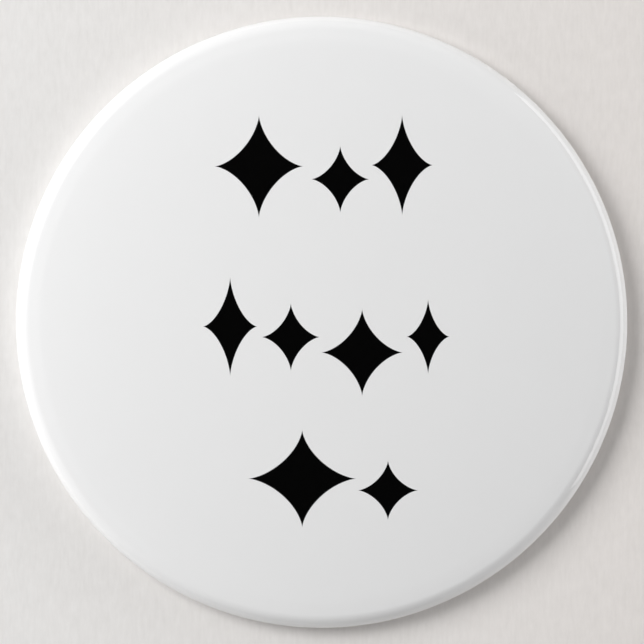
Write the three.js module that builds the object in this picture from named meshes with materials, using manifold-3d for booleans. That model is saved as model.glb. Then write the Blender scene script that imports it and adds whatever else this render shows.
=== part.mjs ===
// A round button badge, 6 inches across, lying on its back with its face up.
//
// Millimetres, +Z up out of the face, +Y up the artwork. The origin is under the centre of the face, on
// the surface that the back rim rests on.
//
// A domed tinplate shell carries a paper disc and a clear film. All three roll round the edge and curl in
// at the back, where the curl holds a dished back plate. A locking bar pin is riveted in the dish.

import * as THREE from 'three';
import { mergeVertices } from 'three/addons/utils/BufferGeometryUtils.js';
import Module from 'manifold-3d';

const wasm = await Module();
wasm.setup();

// ---- Driving dimensions ----

const badge = {
  radius: 76.2, // 6 inch badge
  height: 10.4, // crown of the face above the surface that the rim rests on
  crown: 3.0, // how far the face domes up above its rolled front edge
  edgeRadius: 4.0, // outside radius of the rolled front edge
  curlRadius: 2.4, // outside radius of the back curl
  land: 1.0, // width of the flat ring that the curl rests on
  curlPastBottom: 60, // degrees that the curl goes on past its lowest point
};

const film = { thickness: 0.12 };
const insert = { thickness: 0.16 };
const shell = { thickness: 0.34 };
const layerGap = 0.03; // between the film, the paper and the shell

const plate = {
  thickness: 0.35,
  floorHeight: 6.6, // lower face of the dish floor
  floorRadius: 61.6,
  ringRadius: 64.2, // where the side of the dish meets the outer ring
  flangeRadius: 75.1, // middle of the upturned flange inside the shell's side
  flangeBend: 0.7,
  flangeTop: 4.2,
  beadRadius: 51, // a stiffening bead pressed up round the floor
  beadHalfWidth: 1.8,
  beadHeight: 0.6,
};

const fitGap = 0.04; // between parts that are pressed together
const runningGap = 0.07; // round a part that turns
const throughCut = 4; // length of a tool that cuts right through sheet metal

const bar = {
  length: 64,
  width: 8,
  thickness: 0.8,
  centreY: 25, // above the centre of the badge, so that it hangs upright
};

const hinge = {
  x: -26,
  axleRadius: 0.6,
  headRadius: 1.1,
  headThickness: 0.5,
  earThickness: 0.8,
  earRadius: 2.0,
  earSpacing: 2.2, // between the ears' inner faces
  eyeRadius: 1.5,
  eyeWidth: 2.0,
};

const stem = {
  radius: 0.6,
  tipX: 29.6,
  taper: 5.0, // length of the sharp point
  taperMiddleRadius: 0.36, // halfway along it, so that the point is slightly full
  pointRadius: 0.06,
};

const axisHeight = 3.2; // of the pin's axis above the resting surface, when closed

const catchPart = {
  startX: 22.4,
  plateThickness: 0.6,
  collarLength: 3.0,
  sideGap: 0.1, // between the collar and each end plate
  outerRadius: 2.5,
  collarRadius: 2.0,
  collarBore: 0.9,
  slotWidth: 1.7,
  mouthWidth: 1.6, // of the slots in the end plates
  cradleArc: 210, // degrees that the cradle wraps round the collar, on the bar's side
  padWidth: 3.0,
  stakeLength: 2.4,
  stakeWidth: 1.2,
  stakeClearance: 0.1,
};

const tab = {
  angle: 48, // degrees from straight out of the back, when the catch is open
  tipRadius: 3.05,
  thickness: 0.9,
  length: 2.5,
};

const rivet = {
  offsetX: 13,
  headRadius: 2.1,
  crownRadius: 1.6, // of the flat on top of the head
  headThickness: 0.7,
  shankRadius: 1.2,
  holeClearance: 0.1,
  clinchRadius: 2.0,
  clinchThickness: 0.5,
};

// Smoothness of the round shapes.
const discSides = 48;
const smallSides = 24;
const steps = { crown: 4, edge: 4, curl: 2, lip: 2, tip: 4 };

// ---- Materials ----

function material(color, roughness, metalness) {
  return new THREE.MeshStandardMaterial({ color, roughness, metalness });
}

const clearFilm = () => {
  const clear = material(0xffffff, 0.08, 0);
  clear.transparent = true;
  clear.opacity = 0.15;
  return clear;
};
const whitePaper = () => material(0xf4f4f2, 0.6, 0);
const tinplate = () => material(0xb9bcbe, 0.35, 1);
const nickelPlate = () => material(0xcfcdc8, 0.22, 1);

// ---- Solids and booleans ----

function toSolid(geometry) {
  const bare = geometry.clone();
  bare.deleteAttribute('normal');
  bare.deleteAttribute('uv');
  const merged = mergeVertices(bare, 1e-4);
  const mesh = new wasm.Mesh({
    numProp: 3,
    vertProperties: new Float32Array(merged.attributes.position.array),
    triVerts: new Uint32Array(merged.index.array),
  });
  return new wasm.Manifold(mesh);
}

function toGeometry(solid) {
  const mesh = solid.getMesh();
  const geometry = new THREE.BufferGeometry();
  geometry.setAttribute('position', new THREE.BufferAttribute(new Float32Array(mesh.vertProperties), 3));
  geometry.setIndex(new THREE.BufferAttribute(new Uint32Array(mesh.triVerts), 1));
  return geometry;
}

const join = (...shapes) => toGeometry(shapes.map(toSolid).reduce((whole, next) => whole.add(next)));
const cut = (shape, ...tools) =>
  toGeometry(tools.map(toSolid).reduce((whole, next) => whole.subtract(next), toSolid(shape)));

const box = (sizeX, sizeY, sizeZ, x, y, z) =>
  new THREE.BoxGeometry(sizeX, sizeY, sizeZ).translate(x, y, z);

// A cylinder centred on (x, y, z) along one axis. `outside` makes its flats, not its corners, lie at the
// radius, so that a round part of that radius turns freely in the hole it cuts.
function rod(axis, radius, length, x, y, z, outside = false) {
  const reach = outside ? radius / Math.cos(Math.PI / smallSides) : radius;
  const geometry = new THREE.CylinderGeometry(reach, reach, length, smallSides);
  if (axis === 'x') geometry.rotateZ(-Math.PI / 2);
  if (axis === 'z') geometry.rotateX(Math.PI / 2);
  return geometry.translate(x, y, z);
}

// A solid of revolution about Z from an outline of (radius, height) points, listed upwards at the outside.
function revolve(outline, sides) {
  return new THREE.LatheGeometry(outline, sides).rotateX(Math.PI / 2);
}

// ---- Outlines ----

const point = (r, z) => new THREE.Vector2(r, z);
const radians = THREE.MathUtils.degToRad;

// Points on a circle, from one angle to another, in degrees anticlockwise from straight out.
function arc(centreR, centreZ, radius, from, to, count) {
  return Array.from({ length: count + 1 }, (_, i) => {
    const angle = radians(from + ((to - from) * i) / count);
    return point(centreR + radius * Math.cos(angle), centreZ + radius * Math.sin(angle));
  });
}

const edgeCentreR = badge.radius - badge.edgeRadius;
const edgeCentreZ = badge.height - badge.crown - badge.edgeRadius;
const domeRise = badge.height - edgeCentreZ;
// The dome's sphere touches the top of the face and runs smoothly into the front edge.
const domeRadius =
  (edgeCentreR ** 2 + domeRise ** 2 - badge.edgeRadius ** 2) / (2 * (domeRise - badge.edgeRadius));
const domeCentreZ = badge.height - domeRadius;
const domeEnd = THREE.MathUtils.radToDeg(Math.acos(edgeCentreR / (domeRadius - badge.edgeRadius)));
const curlCentreR = badge.radius - badge.curlRadius;
const lipCentreR = curlCentreR - badge.land;
const lipEnd = -90 - badge.curlPastBottom;

// One face of the rolled layers, lying `inset` below the badge's outer surface: over the dome, round the
// front edge, down the side, round the curl and along to the end of the lip.
function rolledFace(inset) {
  return [
    ...arc(0, domeCentreZ, domeRadius - inset, 90, domeEnd, steps.crown),
    ...arc(edgeCentreR, edgeCentreZ, badge.edgeRadius - inset, domeEnd, 0, steps.edge).slice(1),
    ...arc(curlCentreR, badge.curlRadius, badge.curlRadius - inset, 0, -90, steps.curl),
    ...arc(lipCentreR, badge.curlRadius, badge.curlRadius - inset, -90, lipEnd, steps.lip),
  ];
}

const shellInset = film.thickness + insert.thickness + 2 * layerGap;
const shellMiddle = shellInset + shell.thickness / 2;
const lipMiddle = arc(lipCentreR, badge.curlRadius, badge.curlRadius - shellMiddle, lipEnd, lipEnd, 1)[0];

// The way a film or paper face goes round the end of the steel lip and back along its inner side.
function turnedFace(inset) {
  const away = shellMiddle - inset;
  const inner = badge.curlRadius - shellMiddle - away;
  return [
    ...arc(lipMiddle.x, lipMiddle.y, away, lipEnd, lipEnd - 180, steps.tip).slice(1),
    ...arc(lipCentreR, badge.curlRadius, inner, lipEnd, -90, steps.lip).slice(1),
    point(curlCentreR, badge.curlRadius - inner),
  ];
}

function turnedLayer(inset, thickness) {
  const outer = [...rolledFace(inset), ...turnedFace(inset)];
  const inner = [...rolledFace(inset + thickness), ...turnedFace(inset + thickness)];
  return revolve([...inner, ...outer.reverse()], discSides);
}

// The outline of sheet metal of one thickness along a path of its middle, with square mitres.
function sheetOutline(path, thickness) {
  const side = (sign) =>
    path.map((at, i) => {
      const before = at.clone().sub(path[Math.max(i - 1, 0)]);
      const after = path[Math.min(i + 1, path.length - 1)].clone().sub(at);
      const ways = [before, after].filter((way) => way.length() > 0).map((way) => way.normalize());
      const normals = ways.map((way) => point(-way.y, way.x));
      const mean = normals.reduce((sum, n) => sum.add(n), point(0, 0)).normalize();
      const first = point(-ways[0].y, ways[0].x);
      return at.clone().addScaledVector(mean, (sign * thickness) / 2 / mean.dot(first));
    });
  return [...side(-1), ...side(1).reverse()];
}

// ---- The pressed and printed layers ----

const clearFilmShape = () => turnedLayer(0, film.thickness);
const printedInsertShape = () => turnedLayer(film.thickness + layerGap, insert.thickness);

function frontShellShape() {
  const outer = rolledFace(shellInset);
  const inner = rolledFace(shellInset + shell.thickness);
  return revolve([...inner, ...outer.reverse()], discSides);
}

const plateMiddle = plate.floorHeight + plate.thickness / 2;
const lipTop = lipMiddle.y + shellMiddle;
const ringMiddle = lipTop + fitGap + plate.thickness / 2;
const barMiddle = plate.floorHeight - fitGap - bar.thickness / 2;
const barFace = barMiddle - bar.thickness / 2;

function backPlateShape() {
  const path = [
    point(0, plateMiddle),
    point(plate.beadRadius - plate.beadHalfWidth, plateMiddle),
    point(plate.beadRadius, plateMiddle + plate.beadHeight),
    point(plate.beadRadius + plate.beadHalfWidth, plateMiddle),
    point(plate.floorRadius, plateMiddle),
    point(plate.ringRadius, ringMiddle),
    point(plate.flangeRadius - plate.flangeBend, ringMiddle),
    point(plate.flangeRadius, ringMiddle + plate.flangeBend),
    point(plate.flangeRadius, plate.flangeTop),
  ];
  const dish = revolve(sheetOutline(path, plate.thickness), discSides);
  const holes = [-1, 1].map((side) => rivetHole(side * rivet.offsetX, plateMiddle));
  return cut(dish, ...holes);
}

// ---- The locking bar pin ----

const hingeBore = (length) =>
  rod('y', hinge.axleRadius + runningGap, length, hinge.x, bar.centreY, axisHeight, true);
const rivetHole = (x, z) =>
  rod('z', rivet.shankRadius + rivet.holeClearance, throughCut, x, bar.centreY, z, true);
const catchLength = catchPart.collarLength + 2 * (catchPart.plateThickness + catchPart.sideGap);
const catchMiddleX = catchPart.startX + catchLength / 2;

function pinBarShape() {
  const half = bar.length / 2 - bar.width / 2;
  const outline = new THREE.Shape();
  outline.absarc(half, 0, bar.width / 2, -Math.PI / 2, Math.PI / 2);
  outline.absarc(-half, 0, bar.width / 2, Math.PI / 2, (3 * Math.PI) / 2);
  const strip = new THREE.ExtrudeGeometry(outline, {
    depth: bar.thickness,
    bevelEnabled: false,
    curveSegments: 10,
  }).translate(0, bar.centreY, barFace);
  const ears = [-1, 1].map((side) => earShape(side));
  const axleHole = hingeBore(bar.width);
  const stakeHole = box(
    catchPart.stakeLength + 2 * catchPart.stakeClearance,
    catchPart.stakeWidth + 2 * catchPart.stakeClearance,
    throughCut,
    catchMiddleX,
    bar.centreY,
    barMiddle,
  );
  const rivetHoles = [-1, 1].map((side) => rivetHole(side * rivet.offsetX, barMiddle));
  return cut(join(strip, ...ears), axleHole, stakeHole, ...rivetHoles);
}

// One ear stands on the bar beside the pin's eye, with a round end about the axle.
function earShape(side) {
  const top = barMiddle;
  const outline = new THREE.Shape();
  outline.moveTo(hinge.earRadius, top);
  outline.lineTo(-hinge.earRadius, top);
  outline.absarc(0, axisHeight, hinge.earRadius, Math.PI, 2 * Math.PI);
  outline.closePath();
  const inner = hinge.earSpacing / 2;
  const near = side > 0 ? bar.centreY + inner + hinge.earThickness : bar.centreY - inner;
  return new THREE.ExtrudeGeometry(outline, {
    depth: hinge.earThickness,
    bevelEnabled: false,
    curveSegments: 8,
  })
    .rotateX(Math.PI / 2)
    .translate(hinge.x, near, 0);
}

function pinStemShape() {
  const eye = rod('y', hinge.eyeRadius, hinge.eyeWidth, hinge.x, bar.centreY, axisHeight);
  const length = stem.tipX - hinge.x - hinge.axleRadius - runningGap;
  const start = stem.tipX - length;
  const wire = new THREE.LatheGeometry(
    [
      point(0, 0),
      point(stem.radius, 0),
      point(stem.radius, length - stem.taper),
      point(stem.taperMiddleRadius, length - stem.taper / 2),
      point(stem.pointRadius, length),
      point(0, length),
    ],
    smallSides / 2,
  )
    .rotateZ(-Math.PI / 2)
    .translate(start, bar.centreY, axisHeight);
  return cut(join(eye, wire), hingeBore(2 * hinge.eyeWidth));
}

function hingeRivetShape() {
  const half = hinge.earSpacing / 2 + hinge.earThickness + fitGap;
  const outline = [
    point(0, -half - hinge.headThickness),
    point(hinge.headRadius, -half - hinge.headThickness),
    point(hinge.headRadius, -half),
    point(hinge.axleRadius, -half),
    point(hinge.axleRadius, half),
    point(hinge.headRadius, half),
    point(hinge.headRadius, half + hinge.headThickness),
    point(0, half + hinge.headThickness),
  ];
  return new THREE.LatheGeometry(outline, smallSides).translate(hinge.x, bar.centreY, axisHeight);
}

// A rivet clamps the bar to the plate: head below the bar, shank through both, clinched end inside.
function rivetShape(side) {
  const headTop = barFace - fitGap;
  const clinchFoot = plate.floorHeight + plate.thickness + fitGap;
  const outline = [
    point(0, headTop - rivet.headThickness),
    point(rivet.crownRadius, headTop - rivet.headThickness),
    point(rivet.headRadius, headTop - rivet.headThickness / 2),
    point(rivet.headRadius, headTop),
    point(rivet.shankRadius, headTop),
    point(rivet.shankRadius, clinchFoot),
    point(rivet.clinchRadius, clinchFoot),
    point(rivet.clinchRadius, clinchFoot + rivet.clinchThickness),
    point(0, clinchFoot + rivet.clinchThickness),
  ];
  return revolve(outline, smallSides).translate(side * rivet.offsetX, bar.centreY, 0);
}

// The slot that the stem drops through: a round seat on the pin's axis, open straight out of the back.
function mouth(width, length) {
  const reach = 2 * catchPart.outerRadius;
  return [
    rod('x', width / 2, length, catchMiddleX, bar.centreY, axisHeight, true),
    box(length, width, reach, catchMiddleX, bar.centreY, axisHeight - reach / 2),
  ];
}

// A square post from the pin's axis up towards the bar.
const post = (length, width, top) =>
  box(length, width, top - axisHeight, catchMiddleX, bar.centreY, (top + axisHeight) / 2);

// A cradle that holds the collar between two slotted end plates, on a pad with a stake through the bar.
function catchHousingShape() {
  const { outerRadius, plateThickness, collarRadius, padWidth, stakeLength, stakeWidth } = catchPart;
  const innerLength = catchLength - 2 * plateThickness;
  const collarSpace = rod(
    'x',
    collarRadius + runningGap,
    innerLength,
    catchMiddleX,
    bar.centreY,
    axisHeight,
    true,
  );
  const drum = rod('x', outerRadius, catchLength, catchMiddleX, bar.centreY, axisHeight);
  const pad = post(catchLength, padWidth, barFace - fitGap);
  const stake = post(stakeLength, stakeWidth, barMiddle + bar.thickness / 2);
  const openFrom = axisHeight - outerRadius * Math.cos(radians((360 - catchPart.cradleArc) / 2));
  const reach = 2 * outerRadius;
  const front = box(innerLength, 2 * reach, reach, catchMiddleX, bar.centreY, openFrom - reach / 2);
  const mouths = mouth(catchPart.mouthWidth, 2 * catchLength);
  return cut(join(drum, pad, stake), collarSpace, front, ...mouths);
}

// The collar turns about the pin's axis. Its tab is what a finger pushes.
function lockCollarShape() {
  const { collarRadius, collarBore, collarLength, slotWidth } = catchPart;
  const body = rod('x', collarRadius, collarLength, catchMiddleX, bar.centreY, axisHeight);
  const tabRoot = (collarRadius + collarBore) / 2;
  const tabMiddle = (tabRoot + tab.tipRadius) / 2;
  const lever = new THREE.BoxGeometry(tab.length, tab.thickness, tab.tipRadius - tabRoot)
    .translate(0, 0, -tabMiddle)
    .rotateX(radians(tab.angle))
    .translate(catchMiddleX, bar.centreY, axisHeight);
  const bore = rod('x', collarBore, 2 * collarLength, catchMiddleX, bar.centreY, axisHeight, true);
  const reach = 2 * collarRadius;
  const slot = box(2 * collarLength, slotWidth, reach, catchMiddleX, bar.centreY, axisHeight - reach / 2);
  return cut(join(body, lever), bore, slot);
}

// ---- The assembly ----

function piece(name, geometry, surface) {
  const mesh = new THREE.Mesh(geometry, surface);
  mesh.name = name;
  return mesh;
}

const wholeBadge = new THREE.Group();

const face = new THREE.Group();
face.add(piece('clear_film', clearFilmShape(), clearFilm()));
face.add(piece('printed_insert', printedInsertShape(), whitePaper()));
face.add(piece('front_shell', frontShellShape(), tinplate()));
wholeBadge.add(face);

const back = new THREE.Group();
back.add(piece('back_plate', backPlateShape(), tinplate()));
back.add(piece('rivet_left', rivetShape(-1), nickelPlate()));
back.add(piece('rivet_right', rivetShape(1), nickelPlate()));
wholeBadge.add(back);

const barPin = new THREE.Group();
barPin.add(piece('pin_bar', pinBarShape(), nickelPlate()));
barPin.add(piece('hinge_rivet', hingeRivetShape(), nickelPlate()));
barPin.add(piece('pin_stem', pinStemShape(), nickelPlate()));
barPin.add(piece('catch_housing', catchHousingShape(), nickelPlate()));
barPin.add(piece('lock_collar', lockCollarShape(), nickelPlate()));
wholeBadge.add(barPin);

export default wholeBadge;
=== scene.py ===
"""A round button badge lying face up on pale paper, in soft studio light, seen from straight above.

Metres, in the CAD's own frame: +Z out of the face, z = 0 on the paper. Every visible piece is built here
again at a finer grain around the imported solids, in their places and at their sizes.
"""
import math
import random

import bmesh
import bpy
from mathutils import Matrix, Vector


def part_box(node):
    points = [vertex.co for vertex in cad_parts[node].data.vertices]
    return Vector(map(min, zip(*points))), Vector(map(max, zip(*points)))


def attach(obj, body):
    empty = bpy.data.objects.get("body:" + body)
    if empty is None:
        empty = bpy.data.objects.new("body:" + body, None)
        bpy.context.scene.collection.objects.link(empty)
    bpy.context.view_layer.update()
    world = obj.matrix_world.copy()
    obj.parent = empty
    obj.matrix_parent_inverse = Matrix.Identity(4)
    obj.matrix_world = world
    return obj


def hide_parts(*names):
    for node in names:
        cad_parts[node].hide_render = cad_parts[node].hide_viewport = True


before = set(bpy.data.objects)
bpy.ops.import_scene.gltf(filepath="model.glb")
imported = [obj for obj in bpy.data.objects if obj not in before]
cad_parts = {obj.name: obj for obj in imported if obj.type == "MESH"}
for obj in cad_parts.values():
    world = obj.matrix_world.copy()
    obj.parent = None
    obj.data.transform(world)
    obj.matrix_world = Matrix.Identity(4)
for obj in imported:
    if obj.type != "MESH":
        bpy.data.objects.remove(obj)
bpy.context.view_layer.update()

MM = 0.001

# ---- Sizes, in metres ----

film_low, film_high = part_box("clear_film")
RADIUS = film_high.x
HEIGHT = film_high.z
DOME_RADIUS = 874 * MM  # of the ball whose cap the face is
PILLOW = 0.45 * MM  # how much further than the ball the face has fallen by its shoulder
PILLOW_POWER = 6  # how late on its way out it falls that much further
SHOULDER_RADIUS = 69.3 * MM  # where the face steepens towards its rolled edge
SHOULDER_BEND = 1.0 * MM  # over which it does so
SHOULDER_SLOPE = 0.05  # how much steeper it is from there on
EDGE_RADIUS = 4.3 * MM
CURL_RADIUS = 2.4 * MM
LAND = 1.0 * MM  # width of the flat ring that the curl rests on
LIP_END = -150  # degrees, where the curled lip stops
PLEAT_HEIGHT = 0.11 * MM
FILM = 0.12 * MM
PAPER = 0.16 * MM
STEEL = 0.34 * MM
LAYER_GAP = 0.03 * MM

plate_low, plate_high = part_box("back_plate")
PLATE = 0.35 * MM
FLANGE_TOP = 3.6 * MM
FLANGE_BEND = 0.7 * MM
DISH_RADIUS = 61.6 * MM  # edge of the dish floor
RING_RADIUS = 64.2 * MM  # foot of the dish's side
BEAD_RADIUS = 51 * MM
BEAD_HALF_WIDTH = 1.8 * MM
BEAD_HEIGHT = 0.6 * MM

bar_low, bar_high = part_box("pin_bar")
BAR_Y = (bar_low.y + bar_high.y) / 2
BAR_TOP = bar_high.z
BAR = 0.8 * MM
BAR_EDGE = 0.14 * MM  # how far its stamped edges are rounded
FIT_GAP = 0.04 * MM
THROUGH = 8 * MM  # length of a cutting tool, longer than any hole is deep

hinge_low, hinge_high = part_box("hinge_rivet")
HINGE_X = (hinge_low.x + hinge_high.x) / 2
AXIS_Z = (hinge_low.z + hinge_high.z) / 2
AXLE_RADIUS = 0.6 * MM
AXLE_HOLE = 0.67 * MM
EAR = 0.8 * MM
EAR_RADIUS = 2.0 * MM
EAR_SPACING = 2.2 * MM
EAR_EDGE = 0.12 * MM

stem_low, stem_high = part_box("pin_stem")
EYE_CORNER = 0.18 * MM
WIRE_RADIUS = 0.6 * MM
WIRE_START = 1.05 * MM  # from the hinge's axis, inside the eye's wall
TAPER = 5.0 * MM
TAPER_POWER = 1.6
TIP_RADIUS = 0.05 * MM

RIVET_HEAD = 2.1 * MM  # this and the next five are radii
RIVET_HOLE = 1.3 * MM
RIVET_SHANK = 1.2 * MM
CLINCH = 1.6 * MM  # of the flat foot of the rolled-out end
HOLLOW = 0.85 * MM
HOLLOW_LIP = 0.3 * MM
CLINCH_HEIGHT = 0.5 * MM
CLINCH_STRETCH = 1.6  # how much wider than high the roll is
HOLLOW_DEPTH = 1.1 * MM
HOLLOW_POINT = 0.2 * MM  # how much deeper it is at its middle

catch_low, catch_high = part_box("catch_housing")
CATCH_X = (catch_low.x + catch_high.x) / 2
CATCH_RADIUS = 2.5 * MM
END_PLATE = 0.6 * MM
END_EDGE = 0.09 * MM
MOUTH = 0.8 * MM  # half the width of the end plates' slots
PAD = 1.5 * MM  # half the width of the flat against the bar
PAD_TOP = BAR_TOP - BAR - FIT_GAP - AXIS_Z
WRAP_DROP = 0.647 * MM  # how far below the axis the cradle reaches round the collar
COLLAR_FIT = 0.07 * MM
STAKE = (1.2 * MM, 0.6 * MM)  # half its size along X and Y
STAKE_HOLE = (1.3 * MM, 0.7 * MM)
STAKE_ROOT = 0.1 * MM  # from the cradle's bore to the foot of the stake

COLLAR_RADIUS = 2.0 * MM
COLLAR_BORE = 0.9 * MM
COLLAR_SLOT = 0.85 * MM  # half its width
COLLAR_EDGE = 0.08 * MM
TAB = 0.9 * MM
TAB_ANGLE = 48
TAB_HALF_WIDTH = 1.25 * MM
TAB_ROOT = 1.5 * MM  # this and the next from the axis
TAB_TIP = 3.05 * MM
TAB_CORNER = 0.45 * MM
TAB_EDGE = 0.14 * MM

TABLE_RADIUS = 0.8
TABLE_NEAR = 0.14  # out to where the table paper keeps its full brightness; beyond it painted shade greys it, as if the light fell off
TABLE_GAP = 0.02 * MM  # under the badge

ROUND = 384  # facets round the disc
FINE = 64  # facets round the small parts


# ---- Mesh helpers ----

def finish_mesh(name, mesh, sharp_angle=40):
    """Links a mesh as an object, smooth except along edges sharper than the angle, in degrees."""
    work = bmesh.new()
    work.from_mesh(mesh)
    bmesh.ops.recalc_face_normals(work, faces=work.faces)
    limit = math.radians(sharp_angle)
    for face in work.faces:
        face.smooth = True
    for edge in work.edges:
        edge.smooth = len(edge.link_faces) == 2 and edge.calc_face_angle(0) < limit
    work.to_mesh(mesh)
    work.free()
    obj = bpy.data.objects.new(name, mesh)
    bpy.context.scene.collection.objects.link(obj)
    return obj


def revolve(name, outline, sides, turn=Matrix.Identity(4), closed=False, swell=None, sharp_angle=40):
    """A solid of revolution about Z from (radius, height) points, then turned and placed by a matrix.

    An outline starts and ends on the axis, or closes on itself. swell(index, angle) gives the radius and
    height to add at an outline point.
    """
    work = bmesh.new()
    rings = []
    for index, (r, z) in enumerate(outline):
        if r < 1e-9:
            rings.append([work.verts.new((0, 0, z))])
            continue
        ring = []
        for k in range(sides):
            angle = 2 * math.pi * k / sides
            more_r, more_z = swell(index, angle) if swell else (0, 0)
            reach = r + more_r
            ring.append(work.verts.new((reach * math.cos(angle), reach * math.sin(angle), z + more_z)))
        rings.append(ring)
    pairs = list(zip(rings, rings[1:]))
    if closed:
        pairs.append((rings[-1], rings[0]))
    for first, second in pairs:
        if len(first) == len(second) == 1:
            continue
        for k in range(sides):
            after = (k + 1) % sides
            corners = [
                first[k % len(first)],
                first[after % len(first)],
                second[after % len(second)],
                second[k % len(second)],
            ]
            work.faces.new(list(dict.fromkeys(corners)))
    bmesh.ops.transform(work, matrix=turn, verts=work.verts)
    mesh = bpy.data.meshes.new(name)
    work.to_mesh(mesh)
    work.free()
    return finish_mesh(name, mesh, sharp_angle)


def prism(name, outline, depth, place=Matrix.Identity(4)):
    """A flat outline of (x, y) points thickened equally to both sides of z = 0, then placed by a matrix."""
    work = bmesh.new()
    rings = [[work.verts.new((x, y, side * depth / 2)) for x, y in outline] for side in (-1, 1)]
    work.faces.new(rings[0][::-1])
    work.faces.new(rings[1])
    count = len(outline)
    for k in range(count):
        after = (k + 1) % count
        work.faces.new([rings[0][k], rings[0][after], rings[1][after], rings[1][k]])
    bmesh.ops.transform(work, matrix=place, verts=work.verts)
    mesh = bpy.data.meshes.new(name)
    work.to_mesh(mesh)
    work.free()
    return finish_mesh(name, mesh)


def bake_modifiers(obj):
    """Turns an object's modifiers into its mesh, with its hard edges marked again."""
    bpy.context.view_layer.update()
    graph = bpy.context.evaluated_depsgraph_get()
    mesh = bpy.data.meshes.new_from_object(obj.evaluated_get(graph))
    name = obj.name
    bpy.data.objects.remove(obj)
    return finish_mesh(name, mesh)


def combine(obj, others, operation):
    """obj with the other solids joined to it (UNION) or cut from it (DIFFERENCE)."""
    for other in others:
        modifier = obj.modifiers.new("combine", "BOOLEAN")
        modifier.object = other
        modifier.operation = operation
        modifier.solver = "EXACT"
    done = bake_modifiers(obj)
    for other in others:
        bpy.data.objects.remove(other)
    return done


def soften(obj, width, angle=35):
    """Rounds the edges sharper than the angle, in degrees, as pressing and plating leave them."""
    modifier = obj.modifiers.new("soften", "BEVEL")
    modifier.width = width
    modifier.segments = 3
    modifier.limit_method = "ANGLE"
    modifier.angle_limit = math.radians(angle)
    modifier.use_clamp_overlap = True
    return bake_modifiers(obj)


def arc(centre, radius, start, end, steps):
    """Points on a circle between two angles in degrees, anticlockwise from straight out."""
    points = []
    for i in range(steps + 1):
        angle = math.radians(start + (end - start) * i / steps)
        points.append((centre[0] + radius * math.cos(angle), centre[1] + radius * math.sin(angle)))
    return points


def rounded(path, radii, steps=8):
    """An open path of points with each inner corner rounded to a radius."""
    points = [Vector(path[0])]
    for before, corner, after, radius in zip(path, path[1:], path[2:], radii):
        corner = Vector(corner)
        back = (Vector(before) - corner).normalized()
        on = (Vector(after) - corner).normalized()
        half = back.angle(on) / 2
        middle = corner + (back + on).normalized() * radius / math.sin(half)
        start = corner + back * radius / math.tan(half) - middle
        end = corner + on * radius / math.tan(half) - middle
        for i in range(steps + 1):
            points.append(middle + start.slerp(end, i / steps).normalized() * radius)
    points.append(Vector(path[-1]))
    return points


def sheet_outline(path, thickness):
    """The closed outline of sheet metal of one thickness along a path of its middle."""
    sides = {-1: [], 1: []}
    for i, at in enumerate(path):
        ahead = path[min(i + 1, len(path) - 1)]
        behind = path[max(i - 1, 0)]
        along = (ahead - behind).normalized()
        for sign, points in sides.items():
            points.append((at.x - sign * along.y * thickness / 2, at.y + sign * along.x * thickness / 2))
    return sides[-1] + sides[1][::-1]


# ---- Node helpers ----

def new_tree(name):
    material = bpy.data.materials.new(name)
    material.use_nodes = True
    material.node_tree.nodes.clear()
    return material, material.node_tree


def add(tree, kind, inputs=None, **settings):
    """A node with its settings and inputs. An input is a number, a colour or another node's socket."""
    made = tree.nodes.new(kind)
    for key, value in settings.items():
        setattr(made, key, value)
    for key, value in (inputs or {}).items():
        if isinstance(value, bpy.types.NodeSocket):
            tree.links.new(value, made.inputs[key])
        else:
            made.inputs[key].default_value = value
    return made


def calc(tree, operation, first, second=0.0, third=0.0):
    return add(tree, "ShaderNodeMath", {0: first, 1: second, 2: third}, operation=operation).outputs[0]


def place_of(tree, scale=(1, 1, 1)):
    """A point of the object's own space, scaled."""
    place = add(tree, "ShaderNodeTexCoord").outputs["Object"]
    return add(tree, "ShaderNodeMapping", {"Vector": place, "Scale": scale}).outputs["Vector"]


def noise(tree, vector, scale, detail=3.0, roughness=0.5):
    inputs = {"Vector": vector, "Scale": scale, "Detail": detail, "Roughness": roughness}
    return add(tree, "ShaderNodeTexNoise", inputs).outputs["Fac"]


def spread(tree, value, low, high, from_low=0.0, from_high=1.0):
    inputs = {"Value": value, "From Min": from_low, "From Max": from_high, "To Min": low, "To Max": high}
    return add(tree, "ShaderNodeMapRange", inputs).outputs["Result"]


def blend_colours(tree, share, first, second):
    mix = add(tree, "ShaderNodeMix", data_type="RGBA")
    for socket, value in ((mix.inputs[0], share), (mix.inputs[6], first), (mix.inputs[7], second)):
        if isinstance(value, bpy.types.NodeSocket):
            tree.links.new(value, socket)
        else:
            socket.default_value = value
    return mix.outputs[2]


def bump(tree, height, distance, strength=1.0):
    inputs = {"Height": height, "Distance": distance, "Strength": strength}
    return add(tree, "ShaderNodeBump", inputs).outputs[0]


def output(tree, shader):
    tree.links.new(shader, add(tree, "ShaderNodeOutputMaterial").inputs["Surface"])


# ---- Materials ----

POLYESTER_IOR = 1.57
FILM_WAVE = 0.004 * MM  # heights of the surfaces' relief
PAPER_FIBRE = 0.003 * MM
METAL_GRAIN = 0.004 * MM
TABLE_GRAIN = 0.03 * MM

PAPER_WHITES = ((0.915, 0.915, 0.915, 1), (0.94, 0.94, 0.94, 1))
INK = (0.0015, 0.0015, 0.0015, 1)
TABLE_TONES = ((0.752, 0.735, 0.716, 1), (0.815, 0.799, 0.781, 1))
# painted shade: the grey that the table paper is painted towards far out, standing in for the light falling
# off
TABLE_SHADE_FAR = (0.28, 0.28, 0.28, 1)
COOLER = (0.995, 0.998, 1.004, 1)  # the table paper's tint at the left
WARMER = (1.01, 0.985, 0.975, 1)  # and at the right


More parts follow.
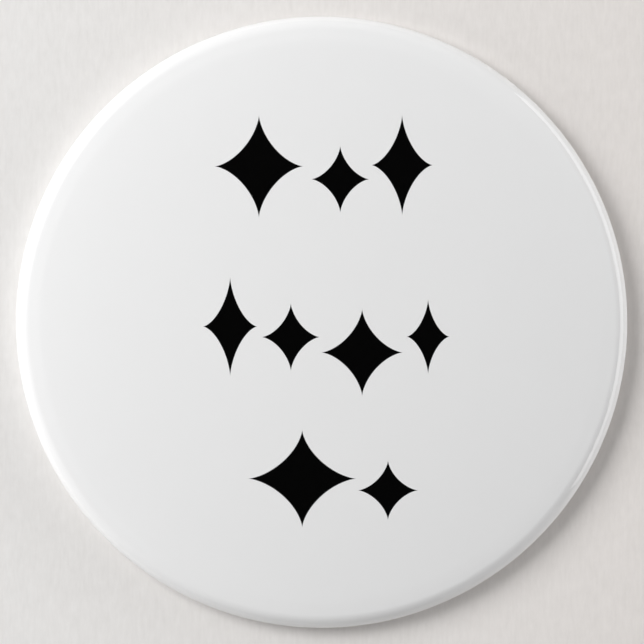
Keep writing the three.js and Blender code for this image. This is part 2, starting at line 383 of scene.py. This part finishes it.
def clear_film_material():
    """Thin clear polyester: it shows what is under it and adds a sharp gloss, with the faint waviness of
    stretched film."""
    material, tree = new_tree("clear_film")
    waves = noise(tree, place_of(tree), 160.0, 2.0)
    ripples = noise(tree, place_of(tree), 900.0, 2.0)
    surface = bump(tree, calc(tree, "MULTIPLY_ADD", ripples, 0.12, waves), FILM_WAVE)
    fresnel = add(tree, "ShaderNodeFresnel", {"IOR": POLYESTER_IOR, "Normal": surface}).outputs[0]
    front = calc(tree, "SUBTRACT", 1.0, add(tree, "ShaderNodeNewGeometry").outputs["Backfacing"])
    mirrored = calc(tree, "MULTIPLY", fresnel, front)
    see = add(tree, "ShaderNodeBsdfTransparent", {"Color": (1, 1, 1, 1)}).outputs[0]
    gloss = {"Color": (1, 1, 1, 1), "Roughness": 0.05, "Normal": surface}
    shine = add(tree, "ShaderNodeBsdfAnisotropic", gloss).outputs[0]
    output(tree, add(tree, "ShaderNodeMixShader", {0: mirrored, 1: see, 2: shine}).outputs[0])
    return material


STAR_ROWS = [  # centre x, centre y, half width and half height of each star, in millimetres
    [(-15.5, 38.5, 11.0, 12.7), (4.6, 35.3, 7.2, 8.3), (19.9, 38.8, 7.6, 12.5)],
    [(-22.6, -1.1, 6.7, 12.3), (-7.6, -3.7, 7.2, 8.4), (10.0, -7.5, 10.1, 10.8), (26.3, -3.6, 5.3, 9.3)],
    [(-4.8, -38.7, 13.4, 12.1), (16.4, -41.6, 7.5, 7.4)],
]
STAR_POWER = 2 / 3  # of an astroid, a star with four inward-curving sides


def star_ink(tree):
    """1 inside any star of the print, 0 outside."""
    place = add(tree, "ShaderNodeSeparateXYZ", {0: add(tree, "ShaderNodeTexCoord").outputs["Object"]})
    ink = None
    for x, y, wide, high in (star for row in STAR_ROWS for star in row):
        terms = []
        for socket, middle, half in ((place.outputs["X"], x, wide), (place.outputs["Y"], y, high)):
            away = calc(tree, "MULTIPLY_ADD", socket, 1 / (half * MM), -middle / half)
            terms.append(calc(tree, "POWER", calc(tree, "ABSOLUTE", away), STAR_POWER))
        inside = spread(tree, calc(tree, "ADD", *terms), 1.0, 0.0, 0.99, 1.01)
        ink = inside if ink is None else calc(tree, "MAXIMUM", ink, inside)
    return ink


def printed_paper_material():
    """Smooth white coated paper with black print, and a trace of its fibres."""
    material, tree = new_tree("printed_paper")
    fibres = noise(tree, place_of(tree), 2600.0, 4.0)
    cloud = noise(tree, place_of(tree), 90.0, 3.0)
    tone = calc(tree, "MULTIPLY_ADD", fibres, 0.5, calc(tree, "MULTIPLY", cloud, 0.5))
    white = blend_colours(tree, tone, *PAPER_WHITES)
    paper = {
        "Base Color": blend_colours(tree, star_ink(tree), white, INK),
        "Roughness": spread(tree, fibres, 0.52, 0.62),
        "Specular IOR Level": 0.03,
        "Normal": bump(tree, fibres, PAPER_FIBRE),
    }
    output(tree, add(tree, "ShaderNodeBsdfPrincipled", paper).outputs[0])
    return material


def metal_material(name, colour, grain_scale, grain, patches, polish):
    """Plated sheet or wire: grain drawn out along one axis, cloudy patches of duller plate, and scuffs.

    polish is the roughness of the brightest and of the dullest spots.
    """
    material, tree = new_tree(name)
    lines = noise(tree, place_of(tree, grain_scale), grain, 4.0, 0.6)
    clouds = noise(tree, place_of(tree), patches, 4.0, 0.55)
    scuffs = noise(tree, place_of(tree, (1, 1.7, 1.3)), patches * 9, 6.0, 0.7)
    wear = spread(tree, scuffs, 0.0, 1.0, 0.56, 0.7)
    dull = calc(tree, "MULTIPLY_ADD", clouds, 0.6, calc(tree, "MULTIPLY", lines, 0.4))
    dark = tuple(part * 0.86 for part in colour[:3]) + (1,)
    tone = blend_colours(tree, calc(tree, "MULTIPLY_ADD", wear, 0.25, dull), colour, dark)
    rough = calc(tree, "MULTIPLY_ADD", wear, 0.08, spread(tree, dull, *polish, 0.3, 0.7))
    height = calc(tree, "MULTIPLY_ADD", wear, -0.5, lines)
    metal = {
        "Base Color": tone,
        "Metallic": 1.0,
        "Roughness": rough,
        "Normal": bump(tree, height, METAL_GRAIN),
    }
    output(tree, add(tree, "ShaderNodeBsdfPrincipled", metal).outputs[0])
    return material


def table_paper_material():
    """A pale sheet with a fine mottled grain and a trace warmer to the right, with painted shade that greys
    it far out, as if the lamps' light fell off there.
    """
    material, tree = new_tree("table_paper")
    mottle = noise(tree, place_of(tree), 260.0, 4.0, 0.6)
    streaks = noise(tree, place_of(tree, (1, 0.22, 1)), 1000.0, 3.0, 0.6)
    tone = calc(tree, "MULTIPLY_ADD", mottle, 0.35, calc(tree, "MULTIPLY", streaks, 0.65))
    near = blend_colours(tree, spread(tree, tone, 0, 1, 0.3, 0.7), *TABLE_TONES)
    place = add(tree, "ShaderNodeTexCoord").outputs["Object"]
    across = add(tree, "ShaderNodeSeparateXYZ", {0: place}).outputs["X"]
    tint = blend_colours(tree, spread(tree, across, 0.0, 1.0, -RADIUS, RADIUS), COOLER, WARMER)
    tinted = add(tree, "ShaderNodeVectorMath", {0: near, 1: tint}, operation="MULTIPLY").outputs["Vector"]
    reach = add(tree, "ShaderNodeVectorMath", {0: place}, operation="LENGTH").outputs["Value"]
    # painted shade: the table greys with distance from the middle, as if the light fell off there
    painted_falloff = spread(tree, reach, 0.0, 1.0, TABLE_NEAR, TABLE_RADIUS)
    paper = {
        "Base Color": blend_colours(tree, painted_falloff, tinted, TABLE_SHADE_FAR),
        "Roughness": 0.85,
        "Specular IOR Level": 0.2,
        "Normal": bump(tree, tone, TABLE_GRAIN, 0.5),
    }
    output(tree, add(tree, "ShaderNodeBsdfPrincipled", paper).outputs[0])
    return material


def finish_piece(obj, material, body, slot, *nodes):
    """Gives a piece its material and its body, and hides the CAD nodes that it stands for. slot is not
    used.
    """
    obj.data.materials.clear()
    obj.data.materials.append(material)
    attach(obj, body)
    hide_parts(*nodes)
    return obj


# ---- The rolled layers ----

CURL_CENTRE = (RADIUS - CURL_RADIUS, CURL_RADIUS)
LIP_CENTRE = (CURL_CENTRE[0] - LAND, CURL_RADIUS)
SHELL_INSET = FILM + PAPER + 2 * LAYER_GAP
SHELL_MIDDLE = SHELL_INSET + STEEL / 2
LIP_TIP = arc(LIP_CENTRE, CURL_RADIUS - SHELL_MIDDLE, LIP_END, LIP_END, 1)[0]


def face_fall(r):
    """How far the face's outer surface has fallen from its crown at a radius."""
    beyond = max(0, r - SHOULDER_RADIUS)
    run = beyond**2 / (2 * SHOULDER_BEND) if beyond < SHOULDER_BEND else beyond - SHOULDER_BEND / 2
    ball = DOME_RADIUS - math.sqrt(DOME_RADIUS**2 - r**2)
    return ball + PILLOW * (r / SHOULDER_RADIUS) ** PILLOW_POWER + SHOULDER_SLOPE * run


def face_slope(r):
    """How steep the face is at a radius, in radians."""
    step = 0.01 * MM
    return math.atan((face_fall(r + step) - face_fall(r - step)) / (2 * step))


def edge_start():
    """The radius at which the face is as steep as the rolled edge is there."""
    r = SHOULDER_RADIUS
    step = 0.005 * MM
    while r - (RADIUS - EDGE_RADIUS) < EDGE_RADIUS * math.sin(face_slope(r)):
        r += step
    return r


EDGE_START = edge_start()
EDGE_SLOPE = face_slope(EDGE_START)
EDGE_TOP = HEIGHT - face_fall(EDGE_START)
EDGE_CENTRE = (RADIUS - EDGE_RADIUS, EDGE_TOP - EDGE_RADIUS * math.cos(EDGE_SLOPE))


def rolled_face(inset):
    """One face of the layers, over the dome, round the front edge, down and round the curl to the lip."""
    radii = [SHOULDER_RADIUS * i / 16 for i in range(1, 17)]
    radii += [SHOULDER_RADIUS + (EDGE_START - SHOULDER_RADIUS) * i / 16 for i in range(1, 17)]
    face = [(0, HEIGHT - inset)]
    for r in radii:
        slope = face_slope(r)
        face.append((r - inset * math.sin(slope), HEIGHT - face_fall(r) - inset * math.cos(slope)))
    edge = arc(EDGE_CENTRE, EDGE_RADIUS - inset, 90 - math.degrees(EDGE_SLOPE), 0, 24)[1:]
    curl = arc(CURL_CENTRE, CURL_RADIUS - inset, 0, -90, 14)
    lip = arc(LIP_CENTRE, CURL_RADIUS - inset, -90, LIP_END, 10)
    return face + edge + curl + lip


def turned_face(inset):
    """How a film or paper face goes round the end of the lip and back along its inner side."""
    away = SHELL_MIDDLE - inset
    inner = CURL_RADIUS - SHELL_MIDDLE - away
    tip = arc(LIP_TIP, away, LIP_END, LIP_END - 180, 12)[1:]
    lip = arc(LIP_CENTRE, inner, LIP_END, -90, 8)[1:]
    return tip + lip + [(CURL_CENTRE[0], CURL_RADIUS - inner)]


def pleats(seed, count):
    """A height from 0 to 1 round the lip: film and paper gather in small uneven pleats as they turn in."""
    draw = random.Random(seed)
    folds = []
    for k in range(count):
        middle = 2 * math.pi * (k + draw.uniform(-0.35, 0.35)) / count
        folds.append((middle, math.radians(draw.uniform(0.7, 1.5)), draw.uniform(0.3, 1.0)))

    def height(angle):
        total = 0.0
        for middle, width, size in folds:
            away = (angle - middle + math.pi) % (2 * math.pi) - math.pi
            total += size * math.exp(-((away / width) ** 2))
        return min(total, 1.0)

    table = [height(2 * math.pi * k / ROUND) for k in range(ROUND)]
    return lambda angle: table[round(angle * ROUND / (2 * math.pi)) % ROUND]


def turned_layer(name, inset, thickness, height):
    """Film or paper that wraps the shell and turns in round its lip, with the pleats in its outer side."""
    outer = rolled_face(inset) + turned_face(inset)
    inner = rolled_face(inset + thickness) + turned_face(inset + thickness)
    outline = inner + outer[::-1]

    def swell(index, angle):
        r, z = outline[index]
        beside = math.hypot(r - LIP_CENTRE[0], z - LIP_CENTRE[1])
        turn = math.degrees(math.atan2(z - LIP_CENTRE[1], r - LIP_CENTRE[0]))
        if not LIP_END <= turn <= -90 or beside < CURL_RADIUS - SHELL_MIDDLE:
            return 0, 0
        share = math.sin(math.pi * (turn + 90) / (LIP_END + 90)) ** 2
        rise = PLEAT_HEIGHT * share * height(angle)
        return rise * math.cos(math.radians(turn)), rise * math.sin(math.radians(turn))

    return revolve(name, outline, ROUND, swell=swell)


def front_shell():
    """The pressed steel dome with its curled-in edge."""
    outer = rolled_face(SHELL_INSET)
    inner = rolled_face(SHELL_INSET + STEEL)
    return revolve("front_shell_steel", inner + outer[::-1], ROUND)


# ---- The back plate and the bar pin ----

def cutter(radius, place):
    """A rod along Z, placed by a matrix, that cuts a round hole."""
    outline = [(0, -THROUGH / 2), (radius, -THROUGH / 2), (radius, THROUGH / 2), (0, THROUGH / 2)]
    return revolve("tool", outline, FINE, place)


def rectangle(half_x, half_y):
    return [(-half_x, -half_y), (half_x, -half_y), (half_x, half_y), (-half_x, half_y)]


def both_sides(points):
    """Points, then their mirror image in x in the opposite order."""
    return points + [(-x, y) for x, y in points[::-1]]


def back_plate():
    """The dished steel back with a raised bead, its flange turned up into the curl."""
    floor = plate_high.z - BEAD_HEIGHT - PLATE / 2
    ring = plate_low.z + PLATE / 2
    flange = plate_high.x - PLATE / 2
    corners = [  # radius, height and how far the corner is rounded
        (BEAD_RADIUS - BEAD_HALF_WIDTH, floor, 2.5 * MM),
        (BEAD_RADIUS, floor + BEAD_HEIGHT, 1.6 * MM),
        (BEAD_RADIUS + BEAD_HALF_WIDTH, floor, 2.5 * MM),
        (DISH_RADIUS, floor, 1.2 * MM),
        (RING_RADIUS, ring, 1.2 * MM),
        (flange - FLANGE_BEND, ring, 0.5 * MM),
        (flange, ring + FLANGE_BEND, 0.5 * MM),
    ]
    path = [(0, floor)] + [(r, z) for r, z, _ in corners] + [(flange, FLANGE_TOP)]
    middle = rounded(path, [bend for _, _, bend in corners])
    return revolve("back_plate_steel", sheet_outline(middle, PLATE), ROUND)


TO_X = Matrix.Rotation(math.pi / 2, 4, "Y")  # turns +Z to +X
TO_Y = Matrix.Rotation(-math.pi / 2, 4, "X")  # turns +Z to +Y
YZ = Matrix(((0, 0, 1, 0), (1, 0, 0, 0), (0, 1, 0, 0), (0, 0, 0, 1)))  # a flat outline to the Y-Z plane
XZ = Matrix(((1, 0, 0, 0), (0, 0, -1, 0), (0, 1, 0, 0), (0, 0, 0, 1)))  # and to the X-Z plane
HINGE = Matrix.Translation((HINGE_X, BAR_Y, AXIS_Z))
CATCH = Matrix.Translation((CATCH_X, BAR_Y, AXIS_Z))


def hinge_ear(side):
    """The bar's upturned ear on the -Y or +Y side of the stem's eye."""
    root = BAR_TOP - BAR / 2 - AXIS_Z
    outline = [(EAR_RADIUS, root)] + arc((0, 0), EAR_RADIUS, 0, -180, 32) + [(-EAR_RADIUS, root)]
    y = BAR_Y + side * (EAR_SPACING + EAR) / 2
    return soften(prism("ear", outline, EAR, Matrix.Translation((HINGE_X, y, AXIS_Z)) @ XZ), EAR_EDGE)


def pin_bar():
    """The base strip with its two ears, and the holes for the axle, the rivets and the catch's stake."""
    round_end = (bar_high.y - bar_low.y) / 2
    half = (bar_high.x - bar_low.x) / 2 - round_end
    outline = arc((half, 0), round_end, -90, 90, 32) + arc((-half, 0), round_end, 90, 270, 32)
    middle = BAR_TOP - BAR / 2
    strip = soften(prism("pin_bar_strip", outline, BAR, Matrix.Translation((0, BAR_Y, middle))), BAR_EDGE)
    strip = combine(strip, [hinge_ear(side) for side in (-1, 1)], "UNION")
    holes = [cutter(AXLE_HOLE, HINGE @ TO_Y)]
    for node in ("rivet_left", "rivet_right"):
        low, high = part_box(node)
        holes.append(cutter(RIVET_HOLE, Matrix.Translation(((low.x + high.x) / 2, BAR_Y, middle))))
    place = Matrix.Translation((CATCH_X, BAR_Y, middle))
    holes.append(prism("tool", rectangle(*STAKE_HOLE), THROUGH, place))
    return combine(strip, holes, "DIFFERENCE")


def stem_eye():
    """The eye round the hinge rivet, with its corners rounded."""
    half = (stem_high.y - stem_low.y) / 2
    radius = HINGE_X - stem_low.x
    outline = [(AXLE_HOLE, -half + EYE_CORNER), (AXLE_HOLE + EYE_CORNER, -half)]
    outline += arc((radius - EYE_CORNER, EYE_CORNER - half), EYE_CORNER, -90, 0, 6)
    outline += arc((radius - EYE_CORNER, half - EYE_CORNER), EYE_CORNER, 0, 90, 6)
    outline += [(AXLE_HOLE + EYE_CORNER, half), (AXLE_HOLE, half - EYE_CORNER)]
    return revolve("pin_stem_wire", outline, FINE, HINGE @ TO_Y, closed=True)


def pin_stem():
    """The eye and the straight wire, which tapers to its point along a curve."""
    length = stem_high.x - HINGE_X
    steps = 12
    taper = []
    for i in range(steps + 1):
        share = i / steps
        radius = WIRE_RADIUS * (1 - share**TAPER_POWER) + TIP_RADIUS * share
        taper.append((radius, length - TAPER * (1 - share)))
    outline = [(0, WIRE_START), (WIRE_RADIUS, WIRE_START)] + taper + [(0, length)]
    straight = revolve("wire", outline, FINE // 2, HINGE @ TO_X)
    return combine(stem_eye(), [straight], "UNION")


def domed_head(radius, thickness, base, away):
    """The (radius, height) points of a rivet head, from its foot at `base` up to the axis."""
    dome = arc((0, 0), 1, 0, 90, 10)
    rim = 0.35
    points = [(radius, base), (radius, base + away * thickness * rim)]
    points += [(radius * x, base + away * thickness * (rim + (1 - rim) * y)) for x, y in dome[1:]]
    points[-1] = (0, points[-1][1])
    return points


def hinge_rivet():
    """The axle through the ears and the eye, with a domed head at each end."""
    half = EAR_SPACING / 2 + EAR + FIT_GAP
    thick = (hinge_high.y - hinge_low.y) / 2 - half
    radius = hinge_high.x - HINGE_X
    top = [(AXLE_RADIUS, half)] + domed_head(radius, thick, half, 1)
    bottom = domed_head(radius, thick, -half, -1)[::-1] + [(AXLE_RADIUS, -half)]
    return revolve("hinge_rivet_pin", bottom + top, FINE, HINGE @ TO_Y)


def rivet(node):
    """A rivet with its domed head below the bar and its hollow end rolled out above the back plate."""
    low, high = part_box(node)
    foot = BAR_TOP - BAR - FIT_GAP
    clinch_foot = high.z - CLINCH_HEIGHT
    head = domed_head(RIVET_HEAD, foot - low.z, foot, -1)[::-1]
    shank = [(RIVET_SHANK, foot), (RIVET_SHANK, clinch_foot), (CLINCH, clinch_foot)]
    roll = arc((0, clinch_foot + CLINCH_HEIGHT / 2), CLINCH_HEIGHT / 2, -90, 90, 10)[1:]
    roll = [(CLINCH + r * CLINCH_STRETCH, z) for r, z in roll]
    lip = arc((HOLLOW + HOLLOW_LIP, high.z - HOLLOW_LIP), HOLLOW_LIP, 90, 180, 6)[1:]
    hollow = [(HOLLOW, high.z - HOLLOW_DEPTH), (0, high.z - HOLLOW_DEPTH - HOLLOW_POINT)]
    place = Matrix.Translation(((low.x + high.x) / 2, BAR_Y, 0))
    return revolve(node + "_body", head + shank + roll + lip + hollow, FINE, place)


def catch_ends(pad_turn):
    """The catch's two end plates, each with a slot for the stem."""
    slot_turn = math.degrees(math.asin(MOUTH / CATCH_RADIUS))
    side = arc((0, 0), CATCH_RADIUS, -90 + slot_turn, pad_turn, 28) + [(PAD, PAD_TOP)]
    outline = both_sides(side) + arc((0, 0), MOUTH, 180, 0, 24)
    reach = (catch_high.x - catch_low.x - END_PLATE) / 2
    plates = []
    for x in (-reach, reach):
        place = CATCH @ Matrix.Translation((x, 0, 0)) @ YZ
        plates.append(soften(prism("end", outline, END_PLATE, place), END_EDGE))
    return plates


def catch_housing():
    """The cradle that the collar turns in, closed by its end plates and staked to the bar."""
    bore = COLLAR_RADIUS + COLLAR_FIT
    outer_start = -math.degrees(math.asin(WRAP_DROP / CATCH_RADIUS))
    inner_start = -math.degrees(math.asin(WRAP_DROP / bore))
    pad_turn = math.degrees(math.acos(PAD / CATCH_RADIUS))
    side = arc((0, 0), CATCH_RADIUS, outer_start, pad_turn, 20) + [(PAD, PAD_TOP)]
    outline = both_sides(side) + arc((0, 0), bore, 180 - inner_start, inner_start, 48)
    length = catch_high.x - catch_low.x - 1.2 * END_PLATE
    cradle = prism("catch_housing_body", outline, length, CATCH @ YZ)
    stake_foot = AXIS_Z + bore + STAKE_ROOT
    place = Matrix.Translation((CATCH_X, BAR_Y, (stake_foot + BAR_TOP) / 2))
    stake = prism("stake", rectangle(*STAKE), BAR_TOP - stake_foot, place)
    return combine(cradle, catch_ends(pad_turn) + [stake], "UNION")


def collar_tab():
    """The collar's finger tab, with the outer corners rounded."""
    outline = [(-TAB_HALF_WIDTH, -TAB_ROOT), (-TAB_HALF_WIDTH, -TAB_TIP + TAB_CORNER)]
    outline += arc((-TAB_HALF_WIDTH + TAB_CORNER, -TAB_TIP + TAB_CORNER), TAB_CORNER, 180, 270, 8)[1:]
    outline += arc((TAB_HALF_WIDTH - TAB_CORNER, -TAB_TIP + TAB_CORNER), TAB_CORNER, 270, 360, 8)
    outline += [(TAB_HALF_WIDTH, -TAB_ROOT)]
    swing = Matrix.Rotation(math.radians(TAB_ANGLE), 4, "X")
    return soften(prism("tab", outline, TAB, CATCH @ swing @ XZ), TAB_EDGE)


def lock_collar():
    """The slotted collar that turns round the stem, with its tab."""
    low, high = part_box("lock_collar")
    turn = math.degrees(math.asin(COLLAR_SLOT / COLLAR_RADIUS))
    bore_turn = math.degrees(math.asin(COLLAR_SLOT / COLLAR_BORE))
    outline = arc((0, 0), COLLAR_RADIUS, -90 + turn, 270 - turn, 64)
    outline += arc((0, 0), COLLAR_BORE, 270 - bore_turn, -90 + bore_turn, 40)
    body = soften(prism("lock_collar_body", outline, high.x - low.x, CATCH @ YZ), COLLAR_EDGE)
    return combine(body, [collar_tab()], "UNION")


# ---- Camera, table and light ----

VIEW_WIDTH = 160.28 * MM  # width of the view at the height of the badge's widest line
VIEW_MIDDLE = (0.09 * MM, 0.02 * MM)
CAMERA_HEIGHT = 1.0
SENSOR = 36.0


def add_camera():
    data = bpy.data.cameras.new("camera")
    camera = bpy.data.objects.new("camera", data)
    bpy.context.scene.collection.objects.link(camera)
    camera.location = (*VIEW_MIDDLE, CAMERA_HEIGHT)
    data.sensor_width = SENSOR
    data.lens = SENSOR * (CAMERA_HEIGHT - CURL_RADIUS) / VIEW_WIDTH
    bpy.context.scene.camera = camera


def add_table():
    work = bmesh.new()
    bmesh.ops.create_circle(work, cap_ends=True, segments=96, radius=TABLE_RADIUS)
    mesh = bpy.data.meshes.new("table")
    work.to_mesh(mesh)
    work.free()
    table = bpy.data.objects.new("table", mesh)
    bpy.context.scene.collection.objects.link(table)
    table.location.z = -TABLE_GAP
    mesh.materials.append(table_paper_material())


def way_to(azimuth, elevation):
    """The direction at an azimuth, anticlockwise from +X, and an elevation, in degrees."""
    turn, rise = math.radians(azimuth), math.radians(elevation)
    return Vector((math.cos(turn) * math.cos(rise), math.sin(turn) * math.cos(rise), math.sin(rise)))


def add_panel(name, azimuth, elevation, distance, width, height, radiance, mirrored=False):
    """A light panel that faces the badge, at an azimuth and elevation in degrees.

    Its radiance is in the same unit as the sky's brightness. Only a mirrored panel shows in gloss.
    """
    data = bpy.data.lights.new(name, "AREA")
    data.shape = "RECTANGLE"
    data.size = width
    data.size_y = height
    data.energy = radiance * math.pi * width * height
    panel = bpy.data.objects.new(name, data)
    bpy.context.scene.collection.objects.link(panel)
    away = way_to(azimuth, elevation)
    panel.location = away * distance
    panel.rotation_euler = away.to_track_quat("Z", "Y").to_euler()
    panel.visible_camera = False
    panel.visible_glossy = mirrored


SKY_LOW = 0.236  # brightness of the surroundings at the horizon
SKY_HIGH = 0.358  # and most of the way up
DARK_SIDE = (280, 25)  # azimuth and elevation of the darkest side of the room
DARK_SIDE_SHARE = 0.22  # how much of the brightness is left there
WINDOW_GLOW = 1.3  # brightness of the soft image of the window in gloss
WINDOW_GLOW_WAY = (150, 38)
WINDOW_GLOW_EDGE = 0.9  # cosine of the angle at which that image ends
OVERHEAD_START = 0.92  # height, on a ball of radius 1, at which the dark overhead begins
OVERHEAD_FULL = 0.978  # and at which nothing of the sky is left


def facing(tree, way, azimuth, elevation):
    """1 where a direction of the surroundings is the given one, down to -1 opposite it."""
    ways = {0: way, 1: way_to(azimuth, elevation)}
    return add(tree, "ShaderNodeVectorMath", ways, operation="DOT_PRODUCT").outputs["Value"]


def add_world():
    """Dim near the horizon and on the room's dark side, paler higher up, and dark straight overhead,
    where the camera and its cloth are. In gloss it also holds a soft image of the window."""
    world = bpy.data.worlds.new("studio")
    world.use_nodes = True
    tree = world.node_tree
    tree.nodes.clear()
    way = add(tree, "ShaderNodeTexCoord").outputs["Generated"]
    up = add(tree, "ShaderNodeSeparateXYZ", {0: way}).outputs["Z"]
    walls = spread(tree, up, SKY_LOW, SKY_HIGH, 0.0, 0.75)
    overhead = spread(tree, up, 1.0, 0.0, OVERHEAD_START, OVERHEAD_FULL)
    shaded = spread(tree, facing(tree, way, *DARK_SIDE), 1.0, DARK_SIDE_SHARE)
    sky = calc(tree, "MULTIPLY", calc(tree, "MULTIPLY", walls, overhead), shaded)
    window = facing(tree, way, *WINDOW_GLOW_WAY)
    glow_range = {"Value": window, "From Min": WINDOW_GLOW_EDGE, "From Max": 1.0, "To Max": WINDOW_GLOW}
    glow = add(tree, "ShaderNodeMapRange", glow_range)
    glow.interpolation_type = "SMOOTHSTEP"
    gloss = add(tree, "ShaderNodeLightPath").outputs["Is Glossy Ray"]
    seen = calc(tree, "MULTIPLY_ADD", glow.outputs["Result"], gloss, sky)
    light = add(tree, "ShaderNodeBackground", {"Color": seen, "Strength": 1.0})
    tree.links.new(light.outputs[0], add(tree, "ShaderNodeOutputWorld").inputs["Surface"])
    bpy.context.scene.world = world


add_camera()
add_table()
add_panel("window", azimuth=152, elevation=40, distance=1.2, width=0.7, height=0.72, radiance=8.15)
add_panel("wall_left", azimuth=214, elevation=25, distance=0.9, width=0.6, height=0.5, radiance=2.15)
add_panel("wall_top", azimuth=105, elevation=22, distance=0.9, width=0.6, height=0.5, radiance=0.4)
add_panel("card_wing", -52, 10, distance=0.8, width=0.4, height=0.3, radiance=0.5, mirrored=True)
add_panel("card", 8, 12, distance=0.8, width=1.36, height=0.34, radiance=2.85, mirrored=True)
add_world()
bpy.context.scene.view_settings.view_transform = "Standard"

# ---- The badge ----

tinplate = metal_material("tinplate", (0.66, 0.67, 0.68, 1), (1, 24, 1), 160.0, 28.0, (0.22, 0.36))
nickel = metal_material("nickel_plate", (0.72, 0.7, 0.66, 1), (1, 6, 6), 500.0, 140.0, (0.14, 0.28))
wire = metal_material("pin_wire", (0.7, 0.69, 0.67, 1), (0.05, 1, 1), 4000.0, 160.0, (0.12, 0.24))
layer_pleats = pleats(seed=5, count=74)
film = turned_layer("film_skin", 0, FILM, layer_pleats)
film.visible_diffuse = False  # so thin that the light it throws on the table can't be seen
finish_piece(film, clear_film_material(), "badge", "clear_film", "clear_film")
paper = turned_layer("paper_print", FILM + LAYER_GAP, PAPER, layer_pleats)
finish_piece(paper, printed_paper_material(), "badge", "printed_paper", "printed_insert")
finish_piece(front_shell(), tinplate, "badge", "tinplate", "front_shell")
finish_piece(back_plate(), tinplate, "badge", "tinplate", "back_plate")
finish_piece(pin_bar(), nickel, "badge", "nickel_plate", "pin_bar")
finish_piece(hinge_rivet(), nickel, "badge", "nickel_plate", "hinge_rivet")
finish_piece(rivet("rivet_left"), nickel, "badge", "nickel_plate", "rivet_left")
finish_piece(rivet("rivet_right"), nickel, "badge", "nickel_plate", "rivet_right")
finish_piece(catch_housing(), nickel, "badge", "nickel_plate", "catch_housing")
finish_piece(pin_stem(), wire, "stem", "pin_wire", "pin_stem")
finish_piece(lock_collar(), nickel, "collar", "nickel_plate", "lock_collar")
